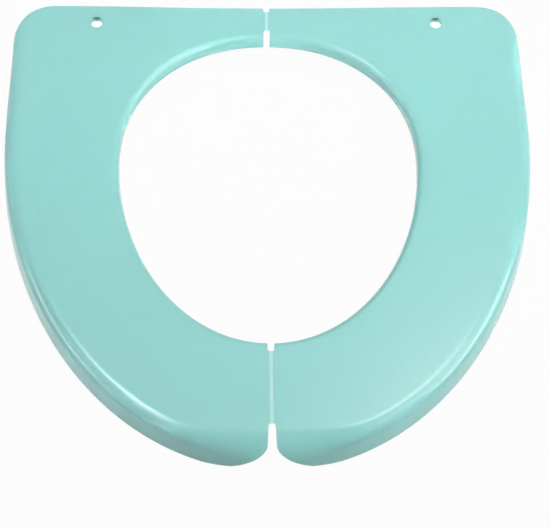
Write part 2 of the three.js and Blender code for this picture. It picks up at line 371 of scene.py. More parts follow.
@dataclass
class SeatPlan:
    """The seat from above, measured from its widest line, and the edges of its right half.

    Attributes:
        back_bow: how far the back edge draws in towards the hinge line.
        gap_length: from the foot's front to the end of the front web.
        gap_slant: how far the plane that the gap is drawn on leans from upright.
        gap_flare: how much wider each side of the gap is where its mouth starts.
        gap_clearance: keeps the gap's cut off the faces along the hinge line.
        mouth_half: half the width of the mouth at its end.
        mouth_reach: how far up that plane the mouth's round reaches.
        mouth_above_foot: how far up that plane the mouth's round ends above the foot.
        side_land: the plate beside the opening; rear_land and front_land are those behind and before it.
        skirt_start: how far past the back corner's start the skirt begins to turn down.
        skirt_run_in: how far it takes to reach its full depth.
        gap_skirt_depth: depth of the skirt at the gap, kept for gap_skirt_length and then growing to the
            full depth over gap_skirt_rise.
        gap_run_share: how many times wider the shoulder is at the gap.
        gap_round_start: how far from the gap the round roll begins to turn into shoulder and wall.
        corner_run_share: run at the hinge corner, as a share of that corner's radius.
        corner_run_slope: how fast the run grows away from the hinge corner.
        end_run_slope: how fast the run grows away from the end of an edge along the hinge line.
    """

    section: ShellSection
    hinge: HingeLine
    half_width: float = 157.0
    back_reach: float = 94.3
    front_reach: float = 215.9
    front_fullness_share: float = 0.7083
    side_radius: float = 1075.0
    back_corner_radius: float = 25.5
    back_bow: float = 1.6
    hinge_corner_radius: float = 0.8
    gap_length: float = 20.1
    gap_slant: float = math.radians(63)
    gap_flare: float = 0.6
    gap_clearance: float = 0.02
    mouth_half: float = 25.0
    mouth_reach: float = 11.9
    mouth_above_foot: float = 3.2
    side_land: float = 69.2
    rear_land: float = 23.8
    front_land: float = 72.0
    opening_setback: float = 19.0
    opening_rear_fullness_share: float = 0.7222
    opening_front_fullness_share: float = 0.7083
    skirt_start: float = 14.0
    skirt_run_in: float = 60.0
    gap_skirt_depth: float = 15.5
    gap_skirt_length: float = 9.0
    gap_skirt_rise: float = 32.0
    gap_run_share: float = 1.9
    gap_run_start: float = 5.0
    gap_run_length: float = 60.0
    gap_round_start: float = 10.0
    gap_round_length: float = 45.0
    corner_run_share: float = 0.8
    corner_run_slope: float = 0.35
    end_run_slope: float = 0.5
    hang_hole_radius: float = 3.4
    hang_hole_from_side: float = 53.0
    hang_hole_from_back: float = 13.3
    cut_overrun: float = 1.0
    steps: Fineness = Fineness()

    @property
    def opening_rear(self) -> float:
        """Y of the opening's rear edge on the hinge line."""
        return self.back_reach - self.back_bow - self.rear_land

    @property
    def opening_front(self) -> float:
        """Y of the opening's front edge on the hinge line."""
        return self.front_land - self.front_reach

    def quadrant(self, rear: bool) -> Superellipse:
        """The rear or front quadrant of the opening, about its widest line."""
        reach = abs((self.opening_rear if rear else self.opening_front) + self.opening_setback)
        share = self.opening_rear_fullness_share if rear else self.opening_front_fullness_share
        return Superellipse(self.half_width - self.side_land, reach, share)

    def lip_end(self, rear: bool) -> float:
        """Y at which the lip's end face starts on the side of the notch."""
        quadrant = self.quadrant(rear)
        edge = quadrant.height_at(self.hinge.gap_half + self.section.rim_radius) + self.section.lip_run
        return -self.opening_setback + (edge if rear else -edge)

    def front_station(self, angle: float) -> Station:
        """A station of the front curve, angle 0 at the widest line."""
        station = Superellipse(self.half_width, self.front_reach, self.front_fullness_share).station(angle)
        station.point.y *= -1
        station.outward.y *= -1
        return station

    def back_edge(self, end_x: float) -> list[Station]:
        """The back edge, hollow towards the hinge line, from the hinge corner to the back corner."""
        start_x = self.hinge.gap_half + self.hinge_corner_radius
        stations = []
        for step in range(self.steps.back_edge):
            x = lerp(start_x, end_x, step / self.steps.back_edge)
            y = self.back_reach - self.back_bow * (1 + math.cos(math.pi * x / end_x)) / 2
            slope = self.back_bow * math.pi / end_x * math.sin(math.pi * x / end_x) / 2
            stations.append(Station(Vector((x, y)), Vector((-slope, 1)).normalized()))
        return stations

    def outer_edge(self) -> list[Station]:
        """The outer edge of the right half.

        It starts at the lip behind the opening, runs back along the hinge line and round the outside, and
        ends in front of the opening, square to the hinge line.

        Returns:
            The stations, with the depth, run and hollow of the edge at each.
        """
        hinge_x = self.hinge.gap_half
        side_centre = Vector((self.half_width - self.side_radius, 0))
        corner_end = math.asin((self.back_reach - self.back_corner_radius)
                               / (self.side_radius - self.back_corner_radius))
        inward = Vector((math.cos(corner_end), math.sin(corner_end)))
        corner_centre = side_centre + inward * (self.side_radius - self.back_corner_radius)
        back_edge = self.back_edge(corner_centre.x)
        radius = self.hinge_corner_radius
        corner_y = back_edge[0].point.y - radius
        rear_start = Vector((hinge_x, self.lip_end(rear=True)))

        stations = line(rear_start, Vector((hinge_x, corner_y)), Vector((-1, 0)), self.steps.hinge_side)
        stations += arc(Vector((hinge_x + radius, corner_y)), radius, math.pi, math.pi / 2,
                        self.steps.hinge_corner)[1:-1]
        hinge_corner = len(stations)
        stations += back_edge
        back_corner = len(stations)
        stations += arc(corner_centre, self.back_corner_radius, math.pi / 2, corner_end,
                        self.steps.back_corner)
        stations += arc(side_centre, self.side_radius, corner_end, 0, self.steps.side)[1:]
        front = Superellipse(self.half_width, self.front_reach, self.front_fullness_share)
        end_x = hinge_x + self.section.rim_radius
        front_end = math.acos((end_x / self.half_width) ** (front.exponent / 2))
        stations += [self.front_station(front_end * step / self.steps.front)
                     for step in range(1, self.steps.front + 1)]
        self.shape_edge(stations, hinge_corner, back_corner)
        last = stations[-1]
        last.outward = Vector((0, -1))
        return [*stations, *self.end_stations(last)]

    def end_stations(self, last: Station) -> list[Station]:
        """The stations that draw an edge in towards its end face on the hinge line.

        Args:
            last: the edge's last whole station, a rim's radius from the hinge line's edge.

        Returns:
            The stations after it.
        """
        rim = self.section.rim_radius
        stations = []
        for step in range(1, self.steps.end_face + 1):
            share = step / self.steps.end_face
            point = Vector((self.hinge.gap_half + rim * (1 - share) ** 2, last.point.y))
            stations.append(Station(point, last.outward.copy(), last.depth, last.run,
                                    end_inset=rim * share ** 2, roundness=last.roundness))
        return stations

    def web_span(self, rear: bool) -> tuple[float, float]:
        """Y of the front and the back end of a web."""
        if rear:
            return (self.opening_rear + self.hinge.rear_opening_notch,
                    self.back_reach - self.back_bow - self.hinge.rear_edge_notch)
        return self.gap_length - self.front_reach, self.opening_front - self.hinge.front_opening_notch

    def shape_edge(self, stations: list[Station], hinge_corner: int, back_corner: int) -> None:
        """Sets how deep the outer edge turns down, how wide it is and how it is hollowed.

        Args:
            stations: the stations of the outer edge, changed in place.
            hinge_corner: the first station past the corner of back edge and hinge line.
            back_corner: the first station of the back corner.
        """
        steps = [(here.point - before.point).length for before, here in zip(stations, stations[1:])]
        travel = [0.0, *accumulate(steps)]
        gap_share = self.gap_skirt_depth / self.section.height
        full_run = self.section.skirt_run
        past_web = stations[-1].point.x - self.hinge.web_half
        for station, gone in zip(stations, travel):
            grown = smoothstep(gone - travel[back_corner], self.skirt_start,
                               self.skirt_start + self.skirt_run_in)
            left = travel[-1] + past_web - gone
            raised = smoothstep(left, self.gap_skirt_length, self.gap_skirt_length + self.gap_skirt_rise)
            narrowed = smoothstep(left, self.gap_run_start, self.gap_run_start + self.gap_run_length)
            station.depth = self.section.height * grown * lerp(gap_share, 1.0, raised)
            station.roundness = 1 - smoothstep(left, self.gap_round_start,
                                               self.gap_round_start + self.gap_round_length)
            from_corner = abs(gone - travel[hinge_corner] + self.hinge_corner_radius)
            station.run = min(full_run * lerp(self.gap_run_share, 1.0, narrowed),
                              self.corner_run_share * self.hinge_corner_radius
                              + self.corner_run_slope * from_corner)
        self.shape_hinge_side(stations[:hinge_corner])

    def shape_hinge_side(self, stations: list[Station]) -> None:
        """Sets the run and the hollow of an edge along the hinge line, changed in place."""
        rim = self.section.rim_radius
        full_run = self.hinge.relief_half - self.hinge.gap_half
        plate_under = self.section.height - self.section.wall
        relief = self.hinge.underside_at(self.hinge.gap_half + rim, self.section) - plate_under
        for station in stations:
            from_end = min((station.point - end.point).length for end in (stations[0], stations[-1]))
            station.run = min(station.run or full_run, full_run, rim + self.end_run_slope * from_end)
            for front_y, back_y in (self.web_span(rear=True), self.web_span(rear=False)):
                beyond = max(front_y - station.point.y, station.point.y - back_y, 0.0)
                fade = (1 - smoothstep(beyond, 0, self.hinge.relief_fade)) * smoothstep(
                    from_end, 0, self.hinge.relief_fade)
                station.relief = max(station.relief, relief * fade)

    def hinge_edge(self, front: Station) -> list[Station]:
        """The edge along the hinge line in front of the opening, from the front skirt to the lip.

        Args:
            front: the last whole station of the outer edge.

        Returns:
            The stations, with the run and hollow of the edge at each.
        """
        hinge_x = self.hinge.gap_half
        start = Vector((hinge_x, front.point.y + front.run))
        stations = line(start, Vector((hinge_x, self.lip_end(rear=False))), Vector((-1, 0)),
                        self.steps.front_hinge_side)
        self.shape_hinge_side(stations)
        return stations

    def gap_outline(self) -> tuple[list[Vector], float]:
        """The right half of the gap's shape, on the slanted plane it is swept from.

        Returns:
            Its corners, with Y running down the plane from the front web's end, and how far down the
            foot of the skirt lies.
        """
        web_end = self.web_span(rear=False)[0]
        foot = ((web_end + self.front_reach) * math.sin(self.gap_slant)
                + self.section.height * math.cos(self.gap_slant))
        mouth_end = foot - self.mouth_above_foot
        width = self.mouth_half - self.hinge.gap_half - self.gap_flare
        start, end = self.hinge.notch_corner, foot + 2 * self.cut_overrun
        corners = [Vector((-self.cut_overrun, start)),
                   Vector((self.hinge.gap_half - self.gap_clearance, start))]
        for step in range(self.steps.mouth + 1):
            angle = math.pi / 2 * step / self.steps.mouth
            corners.append(Vector((self.mouth_half - width * math.cos(angle),
                                   mouth_end - self.mouth_reach * (1 - math.sin(angle)))))
        corners += [Vector((self.mouth_half, end)), Vector((-self.cut_overrun, end))]
        return corners, foot

    def opening_edge(self) -> list[Station]:
        """The lip round the opening, from its rear end face to its front one."""
        hinge_x = self.hinge.gap_half
        steps = self.steps.opening_quadrant
        middle = []
        for rear in (True, False):
            quadrant = self.quadrant(rear)
            span = math.acos((hinge_x + self.section.rim_radius) ** (quadrant.exponent / 2)
                             / quadrant.half_x ** (quadrant.exponent / 2))
            half = []
            for step in range(steps + 1):
                station = quadrant.station(span * step / steps)
                station.outward = -station.outward
                if step == steps:
                    station.outward = Vector((0, -1))
                if not rear:
                    station.point.y *= -1
                    station.outward.y *= -1
                station.point.y -= self.opening_setback
                half.append(station)
            middle += half[::-1] if rear else half[1:]
        for station in middle:
            station.depth = self.section.lip_depth
            station.run = self.section.lip_run
        return [*self.end_stations(middle[0])[::-1], *middle, *self.end_stations(middle[-1])]

    def hang_hole_edge(self) -> list[Station]:
        """The edge of the hang hole, closed on itself, with outward pointing into the hole."""
        centre = Vector((self.half_width - self.hang_hole_from_side,
                         self.back_reach - self.hang_hole_from_back))
        stations = arc(centre, self.hang_hole_radius, 0, 2 * math.pi, self.steps.hang_hole)
        for station in stations:
            station.outward = -station.outward
            station.run = 2 * self.section.rim_radius
        return stations


# ---------------------------------------------------------------------------------------------
# Guides: the lines and rows that the shell's node tree reads
# ---------------------------------------------------------------------------------------------


@dataclass(frozen=True)
class ProfileRow:
    """One row of an edge's profile, as shares of the run, the depth and the wall.

    Attributes:
        across: 0 where the plate ends, 1 at the foot of the edge.
        down: 0 at the plate, 1 at the foot.
        rolled: the same, where the edge is one round roll.
        through: 0 on the upper face, 1 on the under face.
        rim: 1 on the faces, falling to 0 where the rim's corners would meet.
        facing_out: the upper surface's normal, its part along outward.
        facing_up: the upper surface's normal, its part along Z.
        inward_out: the direction into the wall, its part along outward.
        inward_up: the direction into the wall, its part along Z.
    """

    across: float
    down: float
    rolled: float
    through: float
    rim: float
    facing_out: float
    facing_up: float
    inward_out: float
    inward_up: float


@dataclass(frozen=True)
class EdgeProfile:
    """The profile of a turned-down edge: shoulder arc, drafted wall and a rim with rounded corners.

    Attributes:
        section: the moulded section that it belongs to.
        radius: radius of the shoulder's upper face.
        draft: how far the wall leans out from upright.
        depth: from the plate to the foot.
        arc_steps: rows on the shoulder.
        wall_steps: rows on the wall.
        corner_steps: rows on each corner of the rim.
        ease_steps: rows from the flat plate into the shoulder.
    """

    section: ShellSection
    radius: float
    draft: float
    depth: float
    arc_steps: int
    wall_steps: int
    corner_steps: int = 3
    ease_steps: int = 5

    def face_rows(self, through: float) -> list[ProfileRow]:
        """The rows of the upper or the under face, from the plate to the foot."""
        flat = self.section.flat_share
        run = self.section.run_of(self.radius, self.draft, self.depth)
        side = -1.0 if through == 0 else 1.0
        places = self.ease_places(run * flat / (1 - flat))
        eased = math.asin(places[-1][2])
        turn = math.pi / 2 - self.draft
        for step in range(1, self.arc_steps + 1):
            angle = lerp(eased, turn, step / self.arc_steps)
            places.append((self.radius * math.sin(angle), self.radius * (1 - math.cos(angle)),
                           math.sin(angle), math.cos(angle)))
        shoulder = places[-1]
        for step in range(1, self.wall_steps + 1):
            drop = (self.depth - shoulder[1]) * step / self.wall_steps
            places.append((shoulder[0] + drop * math.tan(self.draft), shoulder[1] + drop, *shoulder[2:]))
        rows = []
        for out, down, facing_out, facing_up in places:
            across = min(1.0, max(0.0, lerp(flat, 1.0, out / run)))
            rolled = 1 - math.sqrt(1 - across ** self.section.roll_power)
            rows.append(ProfileRow(across, down / self.depth, rolled, through, 1.0, facing_out, facing_up,
                                   side * facing_out, side * facing_up))
        return rows

    def ease_places(self, lead: float) -> list[tuple[float, float, float, float]]:
        """The places where the flat plate eases into the shoulder arc, without a crease.

        Args:
            lead: how far inside the arc's start the easing begins.

        Returns:
            Distance out, distance down and the two parts of the surface's normal, for each place.
        """
        end = 2 * lead / self.radius
        length = lead + self.radius * math.sin(end)
        drop = self.radius * (1 - math.cos(end))
        places = []
        for step in range(self.ease_steps + 1):
            share = step / self.ease_steps
            # A cubic that starts level with the plate and ends with the slope and height of the arc.
            fall = (drop * (3 * share ** 2 - 2 * share ** 3)
                    + math.tan(end) * length * (share ** 3 - share ** 2))
            slope = (drop * 6 * (share - share ** 2) / length
                     + math.tan(end) * (3 * share ** 2 - 2 * share))
            tilt = math.atan(slope)
            places.append((share * length - lead, fall, math.sin(tilt), math.cos(tilt)))
        return places

    def rim_rows(self) -> list[ProfileRow]:
        """The rows round the rim, from the upper face to the under face."""
        corner = self.section.rim_radius / self.section.wall
        rows = []
        for step in range(1, self.corner_steps + 1):
            share = step / self.corner_steps
            angle = share * math.pi / 2
            rows.append(ProfileRow(1.0, 1.0, 1.0, corner * share ** 2, (1 - share) ** 2, 1.0, 0.0,
                                   -math.cos(angle), math.sin(angle)))
        for step in range(self.corner_steps):
            share = step / self.corner_steps
            angle = share * math.pi / 2
            rows.append(ProfileRow(1.0, 1.0, 1.0, 1 - corner * (1 - share) ** 2, share ** 2, 1.0, 0.0,
                                   math.sin(angle), math.cos(angle)))
        return rows

    def rows(self) -> list[ProfileRow]:
        """All rows, from the plate over the shoulder and rim back to the plate's under face."""
        return [*self.face_rows(0.0), *self.rim_rows(), *reversed(self.face_rows(1.0))]


def guide_object(name: str, points: list[Vector], values: dict[str, list]) -> bpy.types.Object:
    """Makes a line of points that a node tree reads.

    Args:
        name: the guide's name.
        points: its points in order, in metres.
        values: a list of numbers or vectors for each named attribute, one for each point.

    Returns:
        The guide, which is removed once the shell is built.
    """
    mesh = bpy.data.meshes.new(name)
    mesh.from_pydata(points, [(number, number + 1) for number in range(len(points) - 1)], [])
    for title, items in values.items():
        if isinstance(items[0], Vector):
            attribute = mesh.attributes.new(title, "FLOAT_VECTOR", "POINT")
            attribute.data.foreach_set("vector", [part for item in items for part in item])
        else:
            attribute = mesh.attributes.new(title, "FLOAT", "POINT")
            attribute.data.foreach_set("value", items)
    return link_object(name, mesh)


def path_guide(name: str, stations: list[Station], section: ShellSection, shift: float) -> bpy.types.Object:
    """Makes the guide of an edge.

    Args:
        name: the guide's name.
        stations: the edge's stations.
        section: the moulded section, for its wall and rim.
        shift: how far along Y the plan lies from the frame.

    Returns:
        The guide, in metres.
    """
    points = [Vector((s.point.x, s.point.y + shift, 0)) * METRES for s in stations]
    turned = [s.turned(section.wall) for s in stations]
    return guide_object(name, points, {
        "outward": [Vector((*s.outward, 0)) for s in stations],
        "edge_run": [s.run * METRES for s in stations],
        "edge_depth": [s.depth * METRES for s in stations],
        "turned": turned,
        "rim_in": [section.rim_radius * METRES * (1 - share) for share in turned],
        "rim_up": [section.rim_radius * METRES * share for share in turned],
        "end_inset": [s.end_inset * METRES for s in stations],
        "relief": [s.relief * METRES for s in stations],
        "roundness": [s.roundness for s in stations],
    })


def profile_guide(name: str, profile: EdgeProfile) -> bpy.types.Object:
    """Makes the guide of a profile: one point for each row."""
    rows = profile.rows()
    fields = ProfileRow.__dataclass_fields__
    points = [Vector((row.across, 0, -row.down)) for row in rows]
    return guide_object(name, points, {title: [getattr(row, title) for row in rows] for title in fields})


# ---------------------------------------------------------------------------------------------
# Node trees: an edge strip, and the shell made of strips and plate
# ---------------------------------------------------------------------------------------------

PATH_VALUES = ("edge_run", "edge_depth", "turned", "rim_in", "rim_up", "end_inset", "relief", "roundness")

# Each value is worked out from values above it or from attributes of path and profile.
STRIP_STEPS = (
    ("rim_in_here", "MULTIPLY", "rim_in", "rim"),
    ("reach", "SUBTRACT", "edge_run", "rim_in_here"),
    ("reached", "MULTIPLY", "across", "reach"),
    ("upper_inset", "SUBTRACT", "edge_run", "reached"),
    ("rim_up_here", "MULTIPLY", "rim_up", "rim"),
    ("drop", "SUBTRACT", "edge_depth", "rim_up_here"),
    ("rolled_more", "SUBTRACT", "rolled", "down"),
    ("rolled_part", "MULTIPLY", "rolled_more", "roundness"),
    ("down_here", "ADD", "down", "rolled_part"),
    ("dropped", "MULTIPLY", "down_here", "drop"),
    ("upper_height", "SUBTRACT", "plate_height", "dropped"),
    ("wall_here", "MULTIPLY", "wall", "through"),
    ("leaning", "MULTIPLY", "turned", "facing_out"),
    ("wall_inset", "MULTIPLY", "wall_here", "leaning"),
    ("tilted", "SUBTRACT", 1.0, "facing_up"),
    ("tilt", "MULTIPLY", "turned", "tilted"),
    ("upright", "SUBTRACT", 1.0, "tilt"),
    ("wall_drop", "MULTIPLY", "wall_here", "upright"),
    ("from_edge", "SUBTRACT", 1.0, "across"),
    ("hollow_fall", "POWER", "from_edge", HOLLOW_POWER),
    ("hollow_share", "SUBTRACT", 1.0, "hollow_fall"),
    ("hollow_full", "MULTIPLY", "relief", "hollow_share"),
    ("hollow", "MULTIPLY", "hollow_full", "through"),
    ("end_out", "MULTIPLY", "end_inset", "inward_out"),
    ("end_up", "MULTIPLY", "end_inset", "inward_up"),
    ("face_inset", "ADD", "upper_inset", "wall_inset"),
    ("inset", "SUBTRACT", "face_inset", "end_out"),
    ("under_height", "SUBTRACT", "upper_height", "wall_drop"),
    ("hollowed", "ADD", "under_height", "hollow"),
    ("height", "ADD", "hollowed", "end_up"),
    ("pull", "MULTIPLY", "inset", -1.0),
)


def new_tree(name: str, inputs: dict[str, str]) -> tuple[bpy.types.NodeTree, bpy.types.Node]:
    """Makes an empty geometry node tree.

    Args:
        name: the tree's name.
        inputs: the kind of socket for each named input.

    Returns:
        The tree and its input node.
    """
    tree = bpy.data.node_groups.new(name, "GeometryNodeTree")
    for title, kind in inputs.items():
        tree.interface.new_socket(title, in_out="INPUT", socket_type=kind)
    tree.interface.new_socket("Geometry", in_out="OUTPUT", socket_type="NodeSocketGeometry")
    return tree, add_node(tree, "NodeGroupInput")


def edge_strip_tree() -> bpy.types.NodeTree:
    """Builds the tree that sweeps a profile along a path, turning it down and in as the path says."""
    tree, given = new_tree("edge_strip", {
        "Path": "NodeSocketGeometry", "Profile": "NodeSocketGeometry",
        "Plate Height": "NodeSocketFloat", "Wall": "NodeSocketFloat"})
    path, profile = given.outputs["Path"], given.outputs["Profile"]
    stations = add_node(tree, "GeometryNodeAttributeDomainSize", {"Geometry": path})
    rows = add_node(tree, "GeometryNodeAttributeDomainSize", {"Geometry": profile})
    grid = add_node(tree, "GeometryNodeMeshGrid", {
        "Vertices X": stations.outputs["Point Count"], "Vertices Y": rows.outputs["Point Count"]})
    index = add_node(tree, "GeometryNodeInputIndex")
    row_count = rows.outputs["Point Count"]
    station = add_node(tree, "FunctionNodeIntegerMath", {0: index, 1: row_count}, operation="DIVIDE_FLOOR")
    row = add_node(tree, "FunctionNodeIntegerMath", {0: index, 1: row_count}, operation="MODULO")

    values = {"plate_height": given.outputs["Plate Height"], "wall": given.outputs["Wall"]}
    sources = [(path, station, PATH_VALUES), (profile, row, ProfileRow.__dataclass_fields__)]
    for geometry, number, titles in sources:
        for title in titles:
            stored = add_node(tree, "GeometryNodeInputNamedAttribute", {"Name": title}, data_type="FLOAT")
            values[title] = add_node(tree, "GeometryNodeSampleIndex", {
                "Geometry": geometry, "Value": stored, "Index": number}, data_type="FLOAT")
    for title, operation, first, second in STRIP_STEPS:
        values[title] = add_node(tree, "ShaderNodeMath", {
            0: values.get(first, first), 1: values.get(second, second)}, operation=operation)

    place = add_node(tree, "GeometryNodeInputPosition")
    outward = add_node(tree, "GeometryNodeInputNamedAttribute", {"Name": "outward"},
                       data_type="FLOAT_VECTOR")
    vectors = [add_node(tree, "GeometryNodeSampleIndex", {
        "Geometry": path, "Value": source, "Index": station}, data_type="FLOAT_VECTOR")
        for source in (place, outward)]
    pulled = add_node(tree, "ShaderNodeVectorMath", {0: vectors[1], "Scale": values["pull"]},
                      operation="SCALE")
    plan = add_node(tree, "ShaderNodeVectorMath", {0: vectors[0], 1: pulled}, operation="ADD")
    lift = add_node(tree, "ShaderNodeCombineXYZ", {"Z": values["height"]})
    where = add_node(tree, "ShaderNodeVectorMath", {0: plan, 1: lift}, operation="ADD")
    strip = add_node(tree, "GeometryNodeSetPosition", {"Geometry": grid, "Position": where})
    add_node(tree, "NodeGroupOutput", {"Geometry": strip})
    return tree


def shell_tree(strip_tree: bpy.types.NodeTree) -> bpy.types.NodeTree:
    """Builds the tree of one half: a strip on each edge, with the plate filled in between them.

    Args:
        strip_tree: the tree that makes one edge strip.

    Returns:
        The tree. Its geometry input is the outer edge's path.
    """
    tree, given = new_tree("moulded_shell", {
        "Geometry": "NodeSocketGeometry", "Hinge Path": "NodeSocketObject",
        "Opening Path": "NodeSocketObject", "Hang Hole Path": "NodeSocketObject",
        "Skirt Profile": "NodeSocketObject", "Lip Profile": "NodeSocketObject",
        "Plate Height": "NodeSocketFloat", "Wall": "NodeSocketFloat", "Weld Distance": "NodeSocketFloat",
        "Finish": "NodeSocketMaterial"})
    height, wall, weld = (given.outputs[title] for title in ("Plate Height", "Wall", "Weld Distance"))
    hinge, opening, hole, skirt, lip = (
        add_node(tree, "GeometryNodeObjectInfo", {"Object": given.outputs[title]}).outputs["Geometry"]
        for title in ("Hinge Path", "Opening Path", "Hang Hole Path", "Skirt Profile", "Lip Profile"))
    edges = ((given.outputs["Geometry"], skirt), (hinge, lip), (opening, lip), (hole, lip))

    outward = add_node(tree, "GeometryNodeInputNamedAttribute", {"Name": "outward"},
                       data_type="FLOAT_VECTOR")
    run = add_node(tree, "GeometryNodeInputNamedAttribute", {"Name": "edge_run"}, data_type="FLOAT")
    back = add_node(tree, "ShaderNodeMath", {0: run, 1: -1.0}, operation="MULTIPLY")
    inner = add_node(tree, "ShaderNodeVectorMath", {0: outward, "Scale": back}, operation="SCALE")
    end_inset = add_node(tree, "GeometryNodeInputNamedAttribute", {"Name": "end_inset"}, data_type="FLOAT")
    drawn_in = add_node(tree, "FunctionNodeCompare", {0: end_inset, 1: 0.0}, data_type="FLOAT",
                        operation="GREATER_THAN")
    pieces = add_node(tree, "GeometryNodeJoinGeometry")
    plate_lines = add_node(tree, "GeometryNodeJoinGeometry")
    for path, profile in edges:
        strip = add_node(tree, "GeometryNodeGroup", node_tree=strip_tree)
        for title, source in (("Path", path), ("Profile", profile),
                              ("Plate Height", height), ("Wall", wall)):
            tree.links.new(source, strip.inputs[title])
        tree.links.new(strip.outputs[0], pieces.inputs[0])
        kept = add_node(tree, "GeometryNodeDeleteGeometry", {"Geometry": path, "Selection": drawn_in})
        moved = add_node(tree, "GeometryNodeSetPosition", {"Geometry": kept, "Offset": inner})
        tree.links.new(moved.outputs[0], plate_lines.inputs[0])

    closed = add_node(tree, "GeometryNodeMergeByDistance", {"Geometry": plate_lines, "Distance": weld})
    curves = add_node(tree, "GeometryNodeMeshToCurve", {"Mesh": closed})
    filled = add_node(tree, "GeometryNodeFillCurve", {"Curve": curves})
    under = add_node(tree, "ShaderNodeMath", {0: height, 1: wall}, operation="SUBTRACT")
    for level in (height, under):
        up = add_node(tree, "ShaderNodeCombineXYZ", {"Z": level})
        face = add_node(tree, "GeometryNodeTransform", {"Geometry": filled, "Translation": up})
        tree.links.new(face.outputs[0], pieces.inputs[0])

    welded = add_node(tree, "GeometryNodeMergeByDistance", {"Geometry": pieces, "Distance": weld})
    smooth = add_node(tree, "GeometryNodeSetShadeSmooth", {"Geometry": welded})
    real = add_node(tree, "GeometryNodeRealizeInstances", {"Geometry": smooth})
    finished = add_node(tree, "GeometryNodeSetMaterial", {
        "Geometry": real, "Material": given.outputs["Finish"]})
    add_node(tree, "NodeGroupOutput", {"Geometry": finished})
    return tree


# ---------------------------------------------------------------------------------------------
# Finishes
# ---------------------------------------------------------------------------------------------


@dataclass(frozen=True)
class MouldedPolypropylene:
    """Injection-moulded polypropylene, glossy from a polished mould.

    Polypropylene is a little cloudy, so light sinks in and softens the shading at thin edges. A polished
    mould leaves a smooth gloss with the faint waviness of shrinkage, and pigment varies slightly along
    the flow.

    Attributes:
        name: the material's name.
        colour: the pigment, as an sRGB hex value.
        flow_colour: the pigment where the melt flowed thicker, as an sRGB hex value.
        thin_colour: a paler colour painted where a thin wall lets light through, a painted glow of that
            light, as an sRGB hex value.
        roughness: how far highlights spread.
        roughness_swing: how far the roughness strays to each side.
        ior: how strongly the plastic bends light.
        specular_level: strength of the mirror reflection, 0.5 for what the IOR alone gives.
        glow_share: how much of the light passes under the surface.
        glow_depth: how far that light travels.
        glow_colour: how far red, green and blue travel, as shares of that depth.
        flow_size: the width of a flow band.
        ripple_size: the distance between shrinkage ripples.
        ripple_height: the height of a ripple.
    """

    name: str = "moulded_polypropylene"
    colour: str = "#95DBD5"
    flow_colour: str = "#91D9D3"
    thin_colour: str = "#BEEFEB"
    roughness: float = 0.22
    roughness_swing: float = 0.02
    ior: float = 1.49
    specular_level: float = 0.75
    glow_share: float = 0.15
    glow_depth: float = 1.2
    glow_colour: tuple[float, float, float] = (0.7, 1.0, 0.9)
    flow_size: float = 60.0
    ripple_size: float = 14.0
    ripple_height: float = 0.0008

    def material(self) -> bpy.types.Material:
        """Builds the material's nodes.

        Returns:
            The finished material.
        """
        made = bpy.data.materials.new(self.name)
        made.use_nodes = True
        tree = made.node_tree
        tree.nodes.clear()
        where = add_node(tree, "ShaderNodeTexCoord").outputs["Object"]
        flow = add_node(tree, "ShaderNodeTexNoise", {
            "Vector": where, "Scale": 1 / (self.flow_size * METRES), "Detail": 3.0, "Roughness": 0.45,
            "Distortion": 0.6})
        pigment = add_node(tree, "ShaderNodeMix", {
            "Factor": flow, 6: linear_colour(self.colour), 7: linear_colour(self.flow_colour)},
            data_type="RGBA")
        # Painted glow: on the thin webs the pigment is mixed towards a paler colour that stands in for
        # light shining through them, so from here the colour is pigment and painted light together.
        thin = add_node(tree, "ShaderNodeAttribute", attribute_name=THIN_GLOW)
        pigment = add_node(tree, "ShaderNodeMix", {
            "Factor": thin.outputs["Fac"], 6: pigment.outputs["Result"],
            7: linear_colour(self.thin_colour)}, data_type="RGBA")
        gloss = add_node(tree, "ShaderNodeMapRange", {
            "Value": flow, "To Min": self.roughness - self.roughness_swing,
            "To Max": self.roughness + self.roughness_swing})
        ripple = add_node(tree, "ShaderNodeTexNoise", {
            "Vector": where, "Scale": 1 / (self.ripple_size * METRES), "Detail": 1.0})
        bump = add_node(tree, "ShaderNodeBump", {"Height": ripple, "Distance": self.ripple_height * METRES})
        surface = add_node(tree, "ShaderNodeBsdfPrincipled", {
            "Base Color": pigment.outputs["Result"], "Roughness": gloss, "Normal": bump,
            "IOR": self.ior, "Specular IOR Level": self.specular_level,
            "Subsurface Weight": self.glow_share, "Subsurface Radius": self.glow_colour,
            "Subsurface Scale": self.glow_depth * METRES})
        surface.inputs["Base Color"].default_value = linear_colour(self.colour)
        add_node(tree, "ShaderNodeOutputMaterial", {"Surface": surface})
        return made


# ---------------------------------------------------------------------------------------------
# Sub-assemblies
# ---------------------------------------------------------------------------------------------


